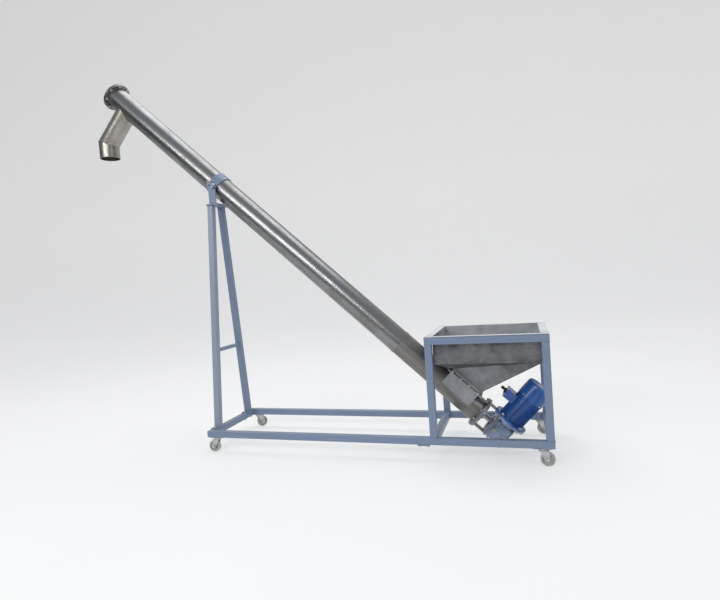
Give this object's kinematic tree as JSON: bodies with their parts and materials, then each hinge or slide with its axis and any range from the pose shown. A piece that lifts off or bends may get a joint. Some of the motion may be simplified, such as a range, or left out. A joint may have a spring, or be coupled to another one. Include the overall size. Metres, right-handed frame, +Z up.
{
  "type": "grain auger",
  "caption": "Mobile inclined screw conveyor for grain: steel tube on a wheeled frame, hopper, worm gear motor and drop spout.",
  "frame": {"origin": "on the floor, at the middle of the whole machine's footprint", "axes": "+Z up, +X towards the hopper and drive end, +Y to the far side"},
  "size_m": [3.0176, 0.6132, 2.5606],
  "materials": {
    "frame_paint": "satin blue-grey paint on welded square tube",
    "stainless": "brushed and polished stainless sheet and tube",
    "zinc_plate": "zinc-plated hexagon bolts",
    "nylon_wheel": "off-white nylon",
    "caster_steel": "zinc-plated pressed steel",
    "motor_paint": "gloss blue paint on ribbed castings and sheet",
    "gearbox_casting": "die-cast aluminium, silver-grey",
    "drive_steel": "grey painted steel plate",
    "bronze": "bronze",
    "black_plastic": "black moulded plastic",
    "lamination": "stacked steel laminations",
    "shaft_steel": "turned steel",
    "screw_steel": "stainless pipe and flighting"
  },
  "bodies": {
    "frame": {"base_rail_front": "frame_paint", "base_rail_rear": "frame_paint", "base_cross_left": "frame_paint", "base_cross_mid": "frame_paint", "base_cross_right": "frame_paint", "stand_post_front_left": "frame_paint", "stand_post_front_right": "frame_paint", "stand_top_front": "frame_paint", "stand_post_rear_left": "frame_paint", "stand_post_rear_right": "frame_paint", "stand_top_rear": "frame_paint", "stand_top_left": "frame_paint", "stand_top_right": "frame_paint", "rail_end_caps": "frame_paint", "splice_plates": "frame_paint", "a_frame_leg_front": "frame_paint", "a_frame_leg_rear": "frame_paint", "a_frame_brace": "frame_paint", "a_frame_feet": "frame_paint", "clamp_upper": "frame_paint", "clamp_lower": "frame_paint", "saddle_bracket": "frame_paint", "frame_fasteners": "zinc_plate", "tube_upper": "stainless", "tube_lower": "stainless", "joint_band": "stainless", "tube_flanges": "stainless", "top_end_cover": "stainless", "top_bearing": "bronze", "discharge_spout": "stainless", "inlet_chute": "stainless", "hopper_body": "stainless", "hopper_funnel": "stainless", "casing_bolts": "zinc_plate", "bearing_plate": "drive_steel", "lower_bearing": "bronze", "lantern": "drive_steel", "gearbox_housing": "gearbox_casting", "gearbox_covers": "gearbox_casting", "motor_frame": "motor_paint", "motor_stator": "lamination", "motor_fan_cover": "motor_paint", "terminal_box": "motor_paint", "cable_gland": "black_plastic", "caster_plates": "caster_steel"},
    "screw": {"screw_shaft": "screw_steel", "screw_flights": "screw_steel", "drive_shaft": "shaft_steel", "worm_wheel": "bronze"},
    "rotor": {"motor_rotor": "lamination", "motor_fan": "black_plastic", "worm_shaft": "shaft_steel"},
    "caster_front_right": {"caster_fork_front_right": "caster_steel"},
    "wheel_front_right": {"caster_wheel_front_right": "nylon_wheel"},
    "caster_front_left": {"caster_fork_front_left": "caster_steel"},
    "wheel_front_left": {"caster_wheel_front_left": "nylon_wheel"},
    "caster_rear_right": {"caster_fork_rear_right": "caster_steel"},
    "wheel_rear_right": {"caster_wheel_rear_right": "nylon_wheel"},
    "caster_rear_left": {"caster_fork_rear_left": "caster_steel"},
    "wheel_rear_left": {"caster_wheel_rear_left": "nylon_wheel"}
  },
  "joints": [
    {"name": "screw_spin", "type": "hinge", "parent": "frame", "child": "screw", "pos_m": [1.10657, -0.01611, 0.209], "axis": [0.7314, 0, -0.682], "continuous": true},
    {"name": "motor_spin", "type": "hinge", "parent": "frame", "child": "rotor", "pos_m": [1.21189, -0.07911, 0.11079], "axis": [0.682, 0, 0.7314], "continuous": true},
    {"name": "caster_swivel_front_right", "type": "hinge", "parent": "frame", "child": "caster_front_right", "pos_m": [1.43857, -0.28111, 0.083], "axis": [0, 0, 1], "continuous": true},
    {"name": "wheel_roll_front_right", "type": "hinge", "parent": "caster_front_right", "child": "wheel_front_right", "pos_m": [1.46457, -0.28111, 0.0375], "axis": [0, 1, 0], "continuous": true},
    {"name": "caster_swivel_front_left", "type": "hinge", "parent": "frame", "child": "caster_front_left", "pos_m": [-0.54143, -0.28111, 0.083], "axis": [0, 0, 1], "continuous": true},
    {"name": "wheel_roll_front_left", "type": "hinge", "parent": "caster_front_left", "child": "wheel_front_left", "pos_m": [-0.56743, -0.28111, 0.0375], "axis": [0, -1, 0], "continuous": true},
    {"name": "caster_swivel_rear_right", "type": "hinge", "parent": "frame", "child": "caster_rear_right", "pos_m": [1.43857, 0.24889, 0.083], "axis": [0, 0, 1], "continuous": true},
    {"name": "wheel_roll_rear_right", "type": "hinge", "parent": "caster_rear_right", "child": "wheel_rear_right", "pos_m": [1.46301, 0.25778, 0.0375], "axis": [-0.342, 0.9397, 0], "continuous": true},
    {"name": "caster_swivel_rear_left", "type": "hinge", "parent": "frame", "child": "caster_rear_left", "pos_m": [-0.54143, 0.24889, 0.083], "axis": [0, 0, 1], "continuous": true},
    {"name": "wheel_roll_rear_left", "type": "hinge", "parent": "caster_rear_left", "child": "wheel_rear_left", "pos_m": [-0.52651, 0.27019, 0.0375], "axis": [-0.8192, 0.5736, 0], "continuous": true}
  ],
  "couplings": [
    {"joint": "motor_spin", "follows": "screw_spin", "ratio": 10}
  ]
}
